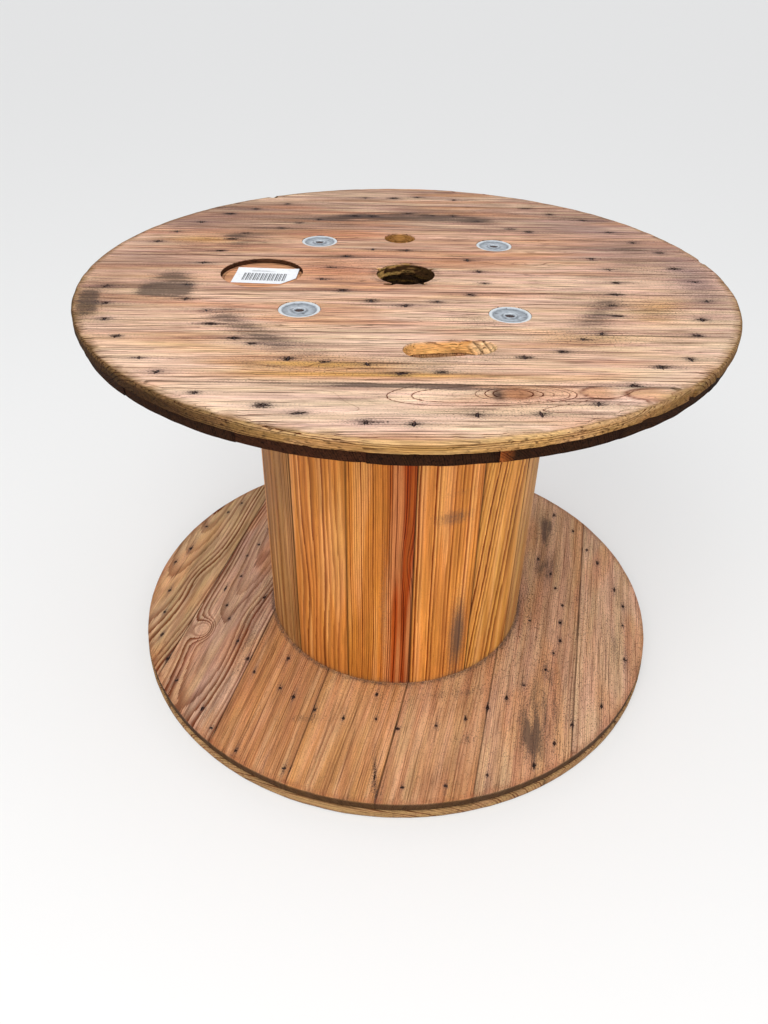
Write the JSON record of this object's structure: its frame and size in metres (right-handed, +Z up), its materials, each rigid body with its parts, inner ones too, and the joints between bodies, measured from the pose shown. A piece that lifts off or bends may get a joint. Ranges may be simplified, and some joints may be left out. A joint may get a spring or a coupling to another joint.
{
  "type": "wooden cable drum",
  "caption": "Wooden cable drum on its end: two round flanges of crossed boards, a barrel of staves set in grooves, four tie rods with dished nuts, spindle and driving holes and a cable slot.",
  "frame": {"origin": "centre of the face that the drum stands on, on its axis", "axes": "+Z up the drum's axis, -Y to the front, where the cable slot is, and +X to the right seen from the front"},
  "size_m": [0.9, 0.9, 0.63],
  "materials": {
    "weathered_softwood": "sawn softwood, weathered and stained",
    "planed_softwood": "planed softwood, clean",
    "galvanised_steel": "hot-dip galvanised, dull",
    "dark_steel": "rolled steel rod, dark and rusty"
  },
  "bodies": {
    "root": {"top_outer_middle": "weathered_softwood", "top_outer_front_1": "weathered_softwood", "top_outer_front_2": "weathered_softwood", "top_outer_front_3": "weathered_softwood", "top_outer_rear_1": "weathered_softwood", "top_outer_rear_2": "weathered_softwood", "top_outer_rear_3": "weathered_softwood", "top_inner_middle": "weathered_softwood", "top_inner_right_1": "weathered_softwood", "top_inner_right_2": "weathered_softwood", "top_inner_right_3": "weathered_softwood", "top_inner_left_1": "weathered_softwood", "top_inner_left_2": "weathered_softwood", "top_inner_left_3": "weathered_softwood", "bottom_inner_middle": "weathered_softwood", "bottom_inner_right_1": "weathered_softwood", "bottom_inner_right_2": "weathered_softwood", "bottom_inner_right_3": "weathered_softwood", "bottom_inner_left_1": "weathered_softwood", "bottom_inner_left_2": "weathered_softwood", "bottom_inner_left_3": "weathered_softwood", "bottom_outer_middle": "weathered_softwood", "bottom_outer_front_1": "weathered_softwood", "bottom_outer_front_2": "weathered_softwood", "bottom_outer_front_3": "weathered_softwood", "bottom_outer_rear_1": "weathered_softwood", "bottom_outer_rear_2": "weathered_softwood", "bottom_outer_rear_3": "weathered_softwood", "stave_01": "planed_softwood", "stave_02": "planed_softwood", "stave_03": "planed_softwood", "stave_04": "planed_softwood", "stave_05": "planed_softwood", "stave_06": "planed_softwood", "stave_07": "planed_softwood", "stave_08": "planed_softwood", "stave_09": "planed_softwood", "stave_10": "planed_softwood", "stave_11": "planed_softwood", "stave_12": "planed_softwood", "stave_13": "planed_softwood", "stave_14": "planed_softwood", "tie_rod_1": "dark_steel", "top_nut_1": "galvanised_steel", "bottom_nut_1": "galvanised_steel", "tie_rod_2": "dark_steel", "top_nut_2": "galvanised_steel", "bottom_nut_2": "galvanised_steel", "tie_rod_3": "dark_steel", "top_nut_3": "galvanised_steel", "bottom_nut_3": "galvanised_steel", "tie_rod_4": "dark_steel", "top_nut_4": "galvanised_steel", "bottom_nut_4": "galvanised_steel"}
  },
  "joints": []
}
